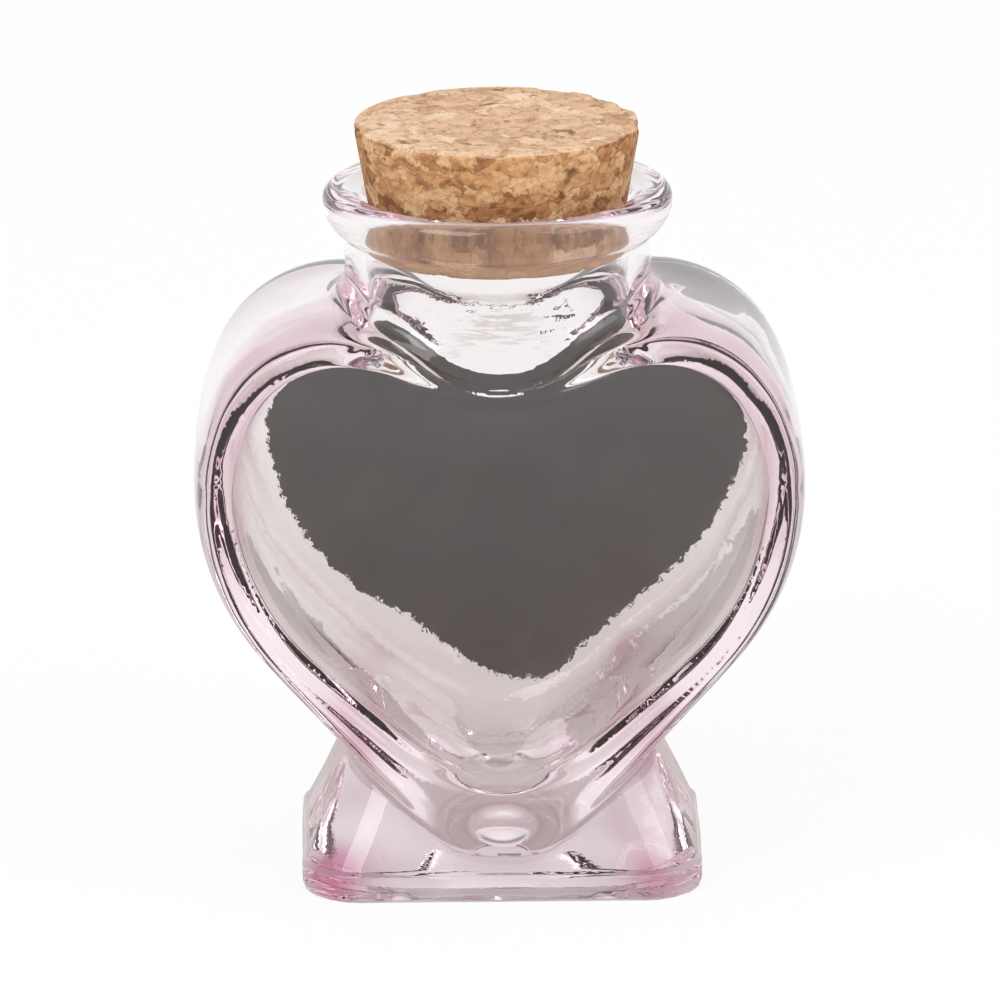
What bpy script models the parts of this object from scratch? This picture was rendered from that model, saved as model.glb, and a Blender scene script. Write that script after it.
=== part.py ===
"""Small heart-shaped glass bottle with a cork stopper and a label on its back.

Metres, +Z up. The origin is the middle of the foot's underside, the front panel faces -Y and the
label is on the +Y panel. Run it with: blender --background --python part.py
"""
import math

import bmesh
import bpy

# Heart outline of the body at its mould plane, seen from the front
BODY_LOBE_X = 0.0198             # lobe centre from the middle plane
BODY_LOBE_Z = 0.0560             # lobe centre above the table
BODY_LOBE_RADIUS = 0.0164
BODY_SIDE_RADIUS = 0.0315        # long arc from the lobe down to the straight side
BODY_TIP_Z = 0.0013              # lowest point of the heart, inside the foot
BODY_TIP_RADIUS = 0.0120
BODY_NOTCH_RADIUS = 0.0146
BODY_JOIN_ANGLE = math.radians(23.3)     # where the lobe arc runs into the side arc

# Heart outline of the flat panels
PANEL_LOBE_IN = 0.0014           # lobe centre, nearer the middle than the body's
PANEL_LOBE_DROP = 0.0014         # and lower
PANEL_LOBE_RADIUS = 0.0160
PANEL_SIDE_RADIUS = 0.0360
PANEL_TIP_RISE = 0.0133          # panel's tip above the body's
PANEL_TIP_RADIUS = 0.0200
PANEL_NOTCH_RADIUS = 0.0150
PANEL_JOIN_ANGLE = math.radians(0.0)

# Body from front to back
BODY_DEPTH = 0.0400              # panel face to panel face
PANEL_STEP = 0.0006              # how far a panel stands proud of the band around it
PANEL_EDGE_RADIUS = 0.0005
SECTION_POWER = 3.1              # 2 is a round side, more is squarer

# Inner space
SIDE_WALL = 0.0046
PANEL_WALL = 0.0028
FLAT_INSET = 0.0015              # from a panel's outline in to the flat inner face behind it
FLOOR_EXTRA = 0.0048             # glass at the heart's tip, beyond the side wall
CAVITY_POWER = 2.0

# Neck and lip
NECK_RADIUS = 0.0188
NECK_WALL = 0.0027
NECK_RISE = 0.0135               # top of the lip above the top of the body's lobes
LIP_OVERHANG = 0.0026            # widest ring of the lip, beyond the neck
LIP_CREST_INSET = 0.0018         # from the widest ring in to the highest one
LIP_UPPER_ROUND = 0.0017         # from the widest ring up to the highest one
LIP_LOWER_ROUND = 0.0038         # from the widest ring down to the neck
MOUTH_FLARE = 0.0025             # depth of the flare from the lip down to the bore

# Foot
FOOT_WIDTH = 0.0494
FOOT_DEPTH = 0.0402
FOOT_BAND_HEIGHT = 0.0036
FOOT_CORNER_RADIUS = 0.0076      # seen from above
FOOT_EDGE_RADIUS = 0.0014        # along the underside
PEDESTAL_STEP = 0.0004           # ledge between the band and the sloping block
PEDESTAL_LEAN = math.radians(24.0)
RECESS_DEPTH = 0.0008
RECESS_INSET = 0.0050            # from the foot's side to the recess
RECESS_LEAN = math.radians(30.0)

# Cork
CORK_HEIGHT = 0.0160
CORK_PROUD = 0.0079              # above the lip
CORK_TAPER = math.radians(9.8)   # lean of its side
CORK_EDGE_RADIUS = 0.0005
SEAT_CLEARANCE = 0.0003          # between pieces that touch

# Label
LABEL_LOBE_X = 0.0149
LABEL_LOBE_DROP = 0.0026         # lobe centre below the panel's
LABEL_LOBE_RADIUS = 0.0145
LABEL_SIDE_RADIUS = 0.0270
LABEL_TIP_RISE = 0.0026          # label's tip above the panel's
LABEL_TIP_RADIUS = 0.0060
LABEL_NOTCH_RADIUS = 0.0024
LABEL_JOIN_ANGLE = math.radians(0.0)
LABEL_THICKNESS = 0.0002
LABEL_SHIFT_X = 0.0024           # it is stuck on a little off centre
LABEL_TURN = math.radians(3.0)   # and a little turned

# How finely round shapes are drawn
ARC_STEPS = 12                   # along each long arc of a heart
SECTION_STEPS = 6                # rings from a panel to the mould plane
TURN_STEPS = 60                  # round the neck and the cork
CORNER_STEPS = 5                 # round a corner of the foot
LIP_STEPS = 4                    # in each quarter of the lip's section
EDGE_STEPS = 3                   # round a small edge
PANEL_EDGE_STEPS = 2             # round a panel's edge
SHARP_ANGLE = math.radians(35.0)
OVERRUN = 0.0010                 # how far a cutter, or a block that is joined on, runs past a face
MERGE_DISTANCE = 0.00001

# Places that follow from the sizes
PANEL_LOBE_Z = BODY_LOBE_Z - PANEL_LOBE_DROP
PANEL_TIP_Z = BODY_TIP_Z + PANEL_TIP_RISE
BORE_RADIUS = NECK_RADIUS - NECK_WALL
LIP_TOP_Z = BODY_LOBE_Z + BODY_LOBE_RADIUS + NECK_RISE
LIP_RIDGE_Z = LIP_TOP_Z - LIP_UPPER_ROUND
LIP_RADIUS = NECK_RADIUS + LIP_OVERHANG
CREST_RADIUS = LIP_RADIUS - LIP_CREST_INSET
MOUTH_Z = LIP_TOP_Z - MOUTH_FLARE

GLASS = {"name": "pink_glass", "color": (0.92, 0.83, 0.87, 1.0), "roughness": 0.04, "transmission": 0.85}
CORK = {"name": "granulated_cork", "color": (0.60, 0.37, 0.20, 1.0), "roughness": 0.85, "transmission": 0.0}
LABEL = {"name": "dark_label", "color": (0.10, 0.085, 0.08, 1.0), "roughness": 0.6, "transmission": 0.0}

BODY_HEART = {
    "lobe_x": BODY_LOBE_X,
    "lobe_z": BODY_LOBE_Z,
    "lobe_radius": BODY_LOBE_RADIUS,
    "side_radius": BODY_SIDE_RADIUS,
    "tip_z": BODY_TIP_Z,
    "tip_radius": BODY_TIP_RADIUS,
    "notch_radius": BODY_NOTCH_RADIUS,
    "join_angle": BODY_JOIN_ANGLE,
}
PANEL_HEART = {
    "lobe_x": BODY_LOBE_X - PANEL_LOBE_IN,
    "lobe_z": PANEL_LOBE_Z,
    "lobe_radius": PANEL_LOBE_RADIUS,
    "side_radius": PANEL_SIDE_RADIUS,
    "tip_z": PANEL_TIP_Z,
    "tip_radius": PANEL_TIP_RADIUS,
    "notch_radius": PANEL_NOTCH_RADIUS,
    "join_angle": PANEL_JOIN_ANGLE,
}
CAVITY_HEART = dict(BODY_HEART, tip_z=BODY_TIP_Z + FLOOR_EXTRA)
LABEL_HEART = {
    "lobe_x": LABEL_LOBE_X,
    "lobe_z": PANEL_LOBE_Z - LABEL_LOBE_DROP,
    "lobe_radius": LABEL_LOBE_RADIUS,
    "side_radius": LABEL_SIDE_RADIUS,
    "tip_z": PANEL_TIP_Z + LABEL_TIP_RISE,
    "tip_radius": LABEL_TIP_RADIUS,
    "notch_radius": LABEL_NOTCH_RADIUS,
    "join_angle": LABEL_JOIN_ANGLE,
}


def clear_scene():
    for old in list(bpy.data.objects):
        bpy.data.objects.remove(old, do_unlink=True)


def make_material(finish):
    material = bpy.data.materials.new(finish["name"])
    material.use_nodes = True
    shader = material.node_tree.nodes["Principled BSDF"]
    shader.inputs["Base Color"].default_value = finish["color"]
    shader.inputs["Roughness"].default_value = finish["roughness"]
    shader.inputs["Metallic"].default_value = 0.0
    shader.inputs["Transmission Weight"].default_value = finish["transmission"]
    return material


def new_collection(name):
    collection = bpy.data.collections.new(name)
    bpy.context.scene.collection.children.link(collection)
    return collection


def object_from_bmesh(name, mesh_data, collection):
    mesh = bpy.data.meshes.new(name)
    mesh_data.to_mesh(mesh)
    mesh_data.free()
    piece = bpy.data.objects.new(name, mesh)
    collection.objects.link(piece)
    return piece


def arc_points(center, radius, start, end, steps):
    """Points of an arc in the XZ plane, both ends included."""
    points = []
    for step in range(steps + 1):
        angle = start + (end - start) * step / steps
        points.append((center[0] + radius * math.cos(angle), center[1] + radius * math.sin(angle)))
    return points


def notch_center_z(heart):
    """Height of the centre of the notch arc, which touches both lobes from above."""
    reach = heart["lobe_radius"] + heart["notch_radius"]
    return heart["lobe_z"] + math.sqrt(reach ** 2 - heart["lobe_x"] ** 2)


def heart_outline(heart, inset=0.0):
    """Closed heart of arcs, from the notch down its right side and up its left side."""
    lobe_center = (heart["lobe_x"], heart["lobe_z"])
    lobe_radius = heart["lobe_radius"] - inset
    side_radius = heart["side_radius"] - inset
    tip_radius = heart["tip_radius"] - inset
    notch_radius = heart["notch_radius"] + inset
    join = heart["join_angle"]

    # The side arc touches the lobe arc from outside at the join angle
    spread = side_radius - lobe_radius
    side_center = (lobe_center[0] - spread * math.cos(join), lobe_center[1] - spread * math.sin(join))

    # The notch arc is centred above the middle
    notch_center = (0.0, notch_center_z(heart))
    notch_angle = math.atan2(lobe_center[1] - notch_center[1], lobe_center[0])

    # The straight lower side touches the side arc and the tip arc
    tip_center = (0.0, heart["tip_z"] + inset + tip_radius)
    across = side_center[0] - tip_center[0]
    up = side_center[1] - tip_center[1]
    normal = math.atan2(up, across) - math.acos((tip_radius - side_radius) / math.hypot(across, up))

    right = arc_points(notch_center, notch_radius, -math.pi / 2, notch_angle, ARC_STEPS // 2)
    right += arc_points(lobe_center, lobe_radius, notch_angle + math.pi, join, ARC_STEPS)[1:]
    right += arc_points(side_center, side_radius, join, normal, ARC_STEPS)[1:]
    right += arc_points(tip_center, tip_radius, normal, -math.pi / 2, ARC_STEPS // 2)
    left = [(-x, z) for x, z in reversed(right[1:-1])]
    return right + left


def blended(outline_a, outline_b, share):
    """Outline between two hearts of as many points, all of outline_a at a share of 0."""
    return [
        (ax + (bx - ax) * share, az + (bz - az) * share)
        for (ax, az), (bx, bz) in zip(outline_a, outline_b)
    ]


def loft(name, rings, collection):
    """Closed solid through rings of points, each ring a list of (x, z) at one y."""
    mesh_data = bmesh.new()
    loops = [[mesh_data.verts.new((x, y, z)) for x, z in outline] for y, outline in rings]
    for front, back in zip(loops, loops[1:]):
        for index in range(len(front)):
            after = (index + 1) % len(front)
            mesh_data.faces.new((front[index], back[index], back[after], front[after]))
    mesh_data.faces.new(loops[0])
    mesh_data.faces.new(list(reversed(loops[-1])))
    bmesh.ops.recalc_face_normals(mesh_data, faces=mesh_data.faces)
    return object_from_bmesh(name, mesh_data, collection)


def section_places(power, half_depth):
    """Places (y, share) of the side's section from a panel, share 1, to the mould plane, share 0."""
    places = []
    for step in range(SECTION_STEPS + 1):
        angle = math.pi / 2 * (1 - step / SECTION_STEPS)
        y = half_depth * math.sin(angle) ** (2 / power)
        share = 1 - math.cos(angle) ** (2 / power)
        places.append((y, share))
    return places


def turned(name, profile, collection):
    """Solid of revolution about Z; the profile runs down its outer side at +X."""
    mesh_data = bmesh.new()
    verts = [mesh_data.verts.new((radius, 0.0, z)) for radius, z in profile]
    for upper, lower in zip(verts, verts[1:]):
        mesh_data.edges.new((upper, lower))
    piece = object_from_bmesh(name, mesh_data, collection)
    screw = piece.modifiers.new("Turn", "SCREW")
    screw.axis = "Z"
    screw.angle = math.tau
    screw.steps = TURN_STEPS
    screw.render_steps = TURN_STEPS
    screw.use_merge_vertices = True
    screw.merge_threshold = MERGE_DISTANCE
    return piece


def block(name, size, bottom, top, corner_radius, lean, collection):
    """Box on the Z axis with rounded upright edges and sides that lean in.

    The size is its (width, depth) at the bottom.
    """
    mesh_data = bmesh.new()
    bmesh.ops.create_cube(mesh_data, size=1.0)
    draw_in = 2 * (top - bottom) * math.tan(lean)
    for vert in mesh_data.verts:
        upper = vert.co.z > 0
        vert.co.x *= size[0] - (draw_in if upper else 0.0)
        vert.co.y *= size[1] - (draw_in if upper else 0.0)
        vert.co.z = top if upper else bottom
    upright = [edge for edge in mesh_data.edges if edge.verts[0].co.z != edge.verts[1].co.z]
    bmesh.ops.bevel(mesh_data, geom=upright, offset=corner_radius, offset_type="OFFSET",
                    segments=CORNER_STEPS, profile=0.5, affect="EDGES")
    return object_from_bmesh(name, mesh_data, collection)


def round_underside(piece, radius):
    """Round the edge that runs round a block's flat underside."""
    mesh_data = bmesh.new()
    mesh_data.from_mesh(piece.data)
    bottom = min(mesh_data.faces, key=lambda face: face.calc_center_median().z)
    bmesh.ops.bevel(mesh_data, geom=list(bottom.edges), offset=radius, offset_type="OFFSET",
                    segments=EDGE_STEPS, profile=0.5, affect="EDGES")
    mesh_data.to_mesh(piece.data)
    mesh_data.free()


def as_cutter(piece):
    piece.hide_render = True
    piece.display_type = "WIRE"
    return piece


def add_boolean(piece, other, operation):
    modifier = piece.modifiers.new(operation.title() + " " + other.name, "BOOLEAN")
    modifier.operation = operation
    modifier.solver = "EXACT"
    modifier.object = other


def shade(piece, angle):
    for polygon in piece.data.polygons:
        polygon.use_smooth = True
    piece.data.set_sharp_from_angle(angle=angle)


def both_faces(half):
    """Rings from the front face to the back one, from those between a face and the mould plane."""
    return [(-y, outline) for y, outline in half] + list(reversed(half[:-1]))


def heart_body(collection):
    """Outside of the heart: a flat proud panel on each face and rounded sides between them."""
    body = heart_outline(BODY_HEART)
    panel = heart_outline(PANEL_HEART)
    half_depth = BODY_DEPTH / 2
    half = []
    for step in range(PANEL_EDGE_STEPS):
        angle = math.pi / 2 * step / PANEL_EDGE_STEPS
        y = half_depth - PANEL_EDGE_RADIUS * (1 - math.cos(angle))
        half.append((y, heart_outline(PANEL_HEART, PANEL_EDGE_RADIUS * (1 - math.sin(angle)))))
    for y, share in section_places(SECTION_POWER, half_depth - PANEL_STEP):
        half.append((y, blended(body, panel, share)))
    return loft("glass_bottle", both_faces(half), collection)


def heart_cavity(collection):
    """Inner space of the heart, rounder than the outside and with a thick floor at its tip."""
    body = heart_outline(CAVITY_HEART, SIDE_WALL)
    panel = heart_outline(PANEL_HEART, FLAT_INSET)
    half = []
    for y, share in section_places(CAVITY_POWER, BODY_DEPTH / 2 - PANEL_WALL):
        half.append((y, blended(body, panel, share)))
    return loft("cavity", both_faces(half), collection)


def quarter(center, reach, start, steps):
    """Points along a quarter of an ellipse, from the angle start; reach is (across, up)."""
    points = []
    for step in range(steps + 1):
        angle = start - math.pi / 2 * step / steps
        points.append((center[0] + reach[0] * math.cos(angle), center[1] + reach[1] * math.sin(angle)))
    return points


def neck_profile():
    """Outer side of the neck and its rounded lip, top to bottom, closed on the axis.

    The neck runs down into the body, to the height of its lobe centres.
    """
    upper_reach = (LIP_CREST_INSET, LIP_UPPER_ROUND)
    lower_reach = (LIP_OVERHANG, LIP_LOWER_ROUND)
    profile = [(0.0, LIP_TOP_Z)]
    profile += quarter((CREST_RADIUS, LIP_RIDGE_Z), upper_reach, math.pi / 2, LIP_STEPS)
    profile += quarter((NECK_RADIUS, LIP_RIDGE_Z), lower_reach, 0.0, LIP_STEPS)[1:]
    profile += [(NECK_RADIUS, BODY_LOBE_Z), (0.0, BODY_LOBE_Z)]
    return profile


def bore_profile():
    """Bore of the neck with its flared mouth, top to bottom, ending inside the body's hollow."""
    notch_bottom = notch_center_z(PANEL_HEART) - PANEL_NOTCH_RADIUS - SIDE_WALL
    flare_reach = (BORE_RADIUS - CREST_RADIUS, MOUTH_FLARE)
    profile = [(0.0, LIP_TOP_Z + OVERRUN), (CREST_RADIUS, LIP_TOP_Z + OVERRUN)]
    profile += quarter((CREST_RADIUS, MOUTH_Z), flare_reach, math.pi / 2, LIP_STEPS)
    profile += [(BORE_RADIUS, notch_bottom - OVERRUN), (0.0, notch_bottom - OVERRUN)]
    return profile


def foot_band(collection):
    """Upright band that stands on the table."""
    size = (FOOT_WIDTH, FOOT_DEPTH)
    band = block("foot_band", size, 0.0, FOOT_BAND_HEIGHT, FOOT_CORNER_RADIUS, 0.0, collection)
    round_underside(band, FOOT_EDGE_RADIUS)
    return band


def pedestal(collection):
    """Block on the band, whose sides lean in until they are inside the heart."""
    bottom = FOOT_BAND_HEIGHT - OVERRUN
    top = BODY_TIP_Z + BODY_TIP_RADIUS + SIDE_WALL + FLOOR_EXTRA
    widen = 2 * (OVERRUN * math.tan(PEDESTAL_LEAN) - PEDESTAL_STEP)
    size = (FOOT_WIDTH + widen, FOOT_DEPTH + widen)
    return block("pedestal", size, bottom, top, FOOT_CORNER_RADIUS, PEDESTAL_LEAN, collection)


def recess(collection):
    """Shallow hollow under the foot, inside the bearing ring."""
    narrow = 2 * (RECESS_INSET - OVERRUN * math.tan(RECESS_LEAN))
    size = (FOOT_WIDTH - narrow, FOOT_DEPTH - narrow)
    corner_radius = FOOT_CORNER_RADIUS - FOOT_EDGE_RADIUS
    return block("recess", size, -OVERRUN, RECESS_DEPTH, corner_radius, RECESS_LEAN, collection)


def build_bottle(parts, cutters):
    bottle = heart_body(parts)
    joined = [turned("neck_and_lip", neck_profile(), cutters), foot_band(cutters), pedestal(cutters)]
    cuts = [heart_cavity(cutters), turned("bore", bore_profile(), cutters), recess(cutters)]
    for piece in joined:
        add_boolean(bottle, as_cutter(piece), "UNION")
    for piece in cuts:
        add_boolean(bottle, as_cutter(piece), "DIFFERENCE")
    bottle.data.materials.append(make_material(GLASS))
    shade(bottle, SHARP_ANGLE)
    return bottle


def build_cork(parts):
    """Tapered stopper that the bore's mouth holds; its origin is on its axis, at its underside."""
    top_z = LIP_TOP_Z + CORK_PROUD
    bottom_z = top_z - CORK_HEIGHT
    held_radius = BORE_RADIUS - SEAT_CLEARANCE
    top_radius = held_radius + (top_z - MOUTH_Z) * math.tan(CORK_TAPER)
    bottom_radius = held_radius - (MOUTH_Z - bottom_z) * math.tan(CORK_TAPER)
    edge = CORK_EDGE_RADIUS
    profile = [(0.0, CORK_HEIGHT)]
    profile += quarter((top_radius - edge, CORK_HEIGHT - edge), (edge, edge), math.pi / 2, EDGE_STEPS)
    profile += quarter((bottom_radius - edge, edge), (edge, edge), 0.0, EDGE_STEPS)
    profile.append((0.0, 0.0))
    cork = turned("cork_stopper", profile, parts)
    cork.location = (0.0, 0.0, bottom_z)
    cork.data.materials.append(make_material(CORK))
    shade(cork, SHARP_ANGLE)
    return cork


def build_label(parts):
    """Thin heart on the back panel, turned a little about its middle."""
    middle_z = (LABEL_HEART["tip_z"] + LABEL_HEART["lobe_z"] + LABEL_LOBE_RADIUS) / 2
    curve = bpy.data.curves.new("back_label", "CURVE")
    curve.dimensions = "2D"
    curve.fill_mode = "BOTH"
    curve.extrude = LABEL_THICKNESS / 2
    outline = heart_outline(LABEL_HEART)
    spline = curve.splines.new("POLY")
    spline.points.add(len(outline) - 1)
    for point, (x, z) in zip(spline.points, outline):
        point.co = (x, z - middle_z, 0.0, 1.0)
    spline.use_cyclic_u = True
    label = bpy.data.objects.new("back_label", curve)
    parts.objects.link(label)
    label.rotation_euler = (math.pi / 2, -LABEL_TURN, 0.0)
    label.location = (LABEL_SHIFT_X, BODY_DEPTH / 2 + SEAT_CLEARANCE + LABEL_THICKNESS / 2, middle_z)
    curve.materials.append(make_material(LABEL))
    return label


def main():
    clear_scene()
    parts = new_collection("potion_bottle")
    cutters = new_collection("cutters")
    build_bottle(parts, cutters)
    build_cork(parts)
    build_label(parts)


main()
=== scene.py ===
import math

import bmesh
import bpy
import numpy as np
from mathutils import Matrix, Vector, noise


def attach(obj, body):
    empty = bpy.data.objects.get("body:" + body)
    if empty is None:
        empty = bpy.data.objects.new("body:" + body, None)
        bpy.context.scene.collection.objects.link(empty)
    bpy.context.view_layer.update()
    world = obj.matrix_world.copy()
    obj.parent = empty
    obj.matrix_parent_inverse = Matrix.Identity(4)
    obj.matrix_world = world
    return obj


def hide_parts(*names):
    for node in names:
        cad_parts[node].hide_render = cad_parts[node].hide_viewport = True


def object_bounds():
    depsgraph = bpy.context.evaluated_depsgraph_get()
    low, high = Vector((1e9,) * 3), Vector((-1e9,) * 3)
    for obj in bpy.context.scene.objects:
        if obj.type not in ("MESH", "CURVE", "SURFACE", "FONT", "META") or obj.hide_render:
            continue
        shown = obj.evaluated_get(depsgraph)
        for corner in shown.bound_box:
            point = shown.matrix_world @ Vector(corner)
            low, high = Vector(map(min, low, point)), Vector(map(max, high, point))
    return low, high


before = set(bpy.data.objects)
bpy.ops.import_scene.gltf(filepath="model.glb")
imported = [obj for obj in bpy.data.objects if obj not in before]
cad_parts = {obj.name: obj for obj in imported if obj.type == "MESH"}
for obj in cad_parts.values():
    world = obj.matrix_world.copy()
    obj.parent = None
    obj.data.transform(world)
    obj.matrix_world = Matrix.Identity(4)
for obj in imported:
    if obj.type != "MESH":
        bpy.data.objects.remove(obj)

mm = 0.001
tiny = 1e-9
farAway = 1.0                        # farther than anything here reaches
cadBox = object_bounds()


class Socket:
    # wraps one output of a node tree, so that sums on it add Math nodes
    def __init__(self, tree, link=None):
        self.tree = tree
        self.link = link

    def node(self, kind, settings=None, inputs=None, output=0):
        made = self.tree.nodes.new(kind)
        for name, value in (settings or {}).items():
            if name == "stops":
                self.setStops(made.color_ramp, value)
            else:
                setattr(made, name, value)
        for name, value in (inputs or {}).items():
            if isinstance(value, Socket):
                self.tree.links.new(value.link, made.inputs[name])
            else:
                made.inputs[name].default_value = value
        return Socket(self.tree, made.outputs[output])

    def setStops(self, ramp, stops):
        while len(ramp.elements) < len(stops):
            ramp.elements.new(0.5)
        for element, (place, colour) in zip(ramp.elements, stops):
            element.position = place
            element.color = colour if isinstance(colour, tuple) else (colour, colour, colour, 1)

    def maths(self, operation, first, second):
        return self.node("ShaderNodeMath", {"operation": operation}, {0: first, 1: second})

    def __add__(self, other):
        return self.maths("ADD", self, other)

    __radd__ = __add__

    def __sub__(self, other):
        return self.maths("SUBTRACT", self, other)

    def __rsub__(self, other):
        return self.maths("SUBTRACT", other, self)

    def __mul__(self, other):
        return self.maths("MULTIPLY", self, other)

    __rmul__ = __mul__

    def ramp(self, stops, interpolation="LINEAR"):
        made = self.node("ShaderNodeValToRGB", {"stops": stops}, {"Fac": self})
        made.link.node.color_ramp.interpolation = interpolation
        return made

    def mixed(self, blend, first, second):
        # a colour mix by this factor
        settings = {"data_type": "RGBA", "blend_type": blend}
        return self.node("ShaderNodeMix", settings, {0: self, 6: first, 7: second}, output=2)


def newMaterial(name):
    material = bpy.data.materials.new(name)
    material.use_nodes = True
    material.node_tree.nodes.clear()
    start = Socket(material.node_tree)
    output = material.node_tree.nodes.new("ShaderNodeOutputMaterial")
    return material, start, output


def connect(shader, output, name):
    shader.tree.links.new(shader.link, output.inputs[name])


# Signed distances, in metres, on arrays of points: below 0 inside

fitting = {
    "deepInside": -20 * mm,          # a heart's distance where none of its arcs is near
    "leastBetween": 0.1 * mm,
    "slopeStep": 0.02 * mm,
    "leastSteepness": 0.05,
    "longestMove": 0.4 * mm,
    "evenShare": 0.5,                # how far a point moves towards the middle of its neighbours
    "nearest": 0.05 * mm,            # neighbours closer than this pull no harder
    "weld": 0.001 * mm,
    "firstMoves": 4,
    "evenings": 3,
    "laterMoves": 2,
}


def heartDistance(x, z, heart):
    x = np.abs(x)
    lobe = (heart["lobeX"], heart["lobeZ"])
    reach = heart["lobeRadius"] + heart["notchRadius"]
    notch = (0.0, lobe[1] + math.sqrt(reach ** 2 - lobe[0] ** 2))
    spread = heart["sideRadius"] - heart["lobeRadius"]
    side = (lobe[0] - spread * math.cos(heart["join"]), lobe[1] - spread * math.sin(heart["join"]))
    tip = (0.0, heart["tipZ"] + heart["tipRadius"])
    across, up = side[0] - tip[0], side[1] - tip[1]
    length = math.hypot(across, up)
    slope = math.atan2(up, across) - math.acos((heart["tipRadius"] - heart["sideRadius"]) / length)
    arcs = [
        (notch, -heart["notchRadius"], -math.pi / 2, math.atan2(lobe[1] - notch[1], lobe[0])),
        (lobe, heart["lobeRadius"], heart["join"], math.atan2(notch[1] - lobe[1], -lobe[0])),
        (side, heart["sideRadius"], slope, heart["join"]),
        (tip, heart["tipRadius"], -math.pi / 2, slope),
    ]
    nearest = np.full(x.shape, fitting["deepInside"])
    found = np.full(x.shape, farAway)
    for center, radius, start, end in arcs:
        angle = np.arctan2(z - center[1], x - center[0])
        gap = math.copysign(1, radius) * (np.hypot(x - center[0], z - center[1]) - abs(radius))
        closer = (angle >= start) & (angle <= end) & (np.abs(gap) < found)
        nearest = np.where(closer, gap, nearest)
        found = np.where(closer, np.abs(gap), found)
    along = -x * math.sin(slope) + (z - tip[1]) * math.cos(slope)
    straight = -across * math.sin(slope) + up * math.cos(slope)
    gap = x * math.cos(slope) + (z - tip[1]) * math.sin(slope) - heart["tipRadius"]
    closer = (along >= 0) & (along <= straight) & (np.abs(gap) < found)
    return np.where(closer, gap, nearest)


def puffedHeart(x, y, z, outer, inner, halfDepth, power, outerInset=0, innerInset=0):
    # the outer heart at the mould plane runs into the inner one at two flat faces
    toOuter = heartDistance(x, z, outer) + outerInset
    toInner = heartDistance(x, z, inner) + innerInset
    between = np.maximum(toInner - toOuter, fitting["leastBetween"])
    across = np.maximum(toInner, 0) / between
    deep = np.abs(y) / halfDepth
    size = np.maximum((across ** power + deep ** power) ** (1 / power), tiny)
    slope = np.hypot((across / size) ** (power - 1) / between, (deep / size) ** (power - 1) / halfDepth)
    return (size - 1) / np.maximum(slope, 1)


def ovalDistance(across, up, reachAcross, reachUp):
    near = np.hypot(across / reachAcross, up / reachUp)
    far = np.hypot(across / reachAcross ** 2, up / reachUp ** 2)
    return near * (near - 1) / np.maximum(far, tiny)


def planDistance(x, y, halfWidth, halfDepth, corner):
    overX = np.abs(x) - (halfWidth - corner)
    overY = np.abs(y) - (halfDepth - corner)
    beyond = np.hypot(np.maximum(overX, 0), np.maximum(overY, 0))
    return beyond + np.minimum(np.maximum(overX, overY), 0) - corner


def softMin(first, second, fillet):
    overlap = np.maximum(fillet - np.abs(first - second), 0) / fillet
    return np.minimum(first, second) - overlap ** 2 * fillet / 4


def softMax(first, second, fillet):
    return -softMin(-first, -second, fillet)


# Glass bottle

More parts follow.
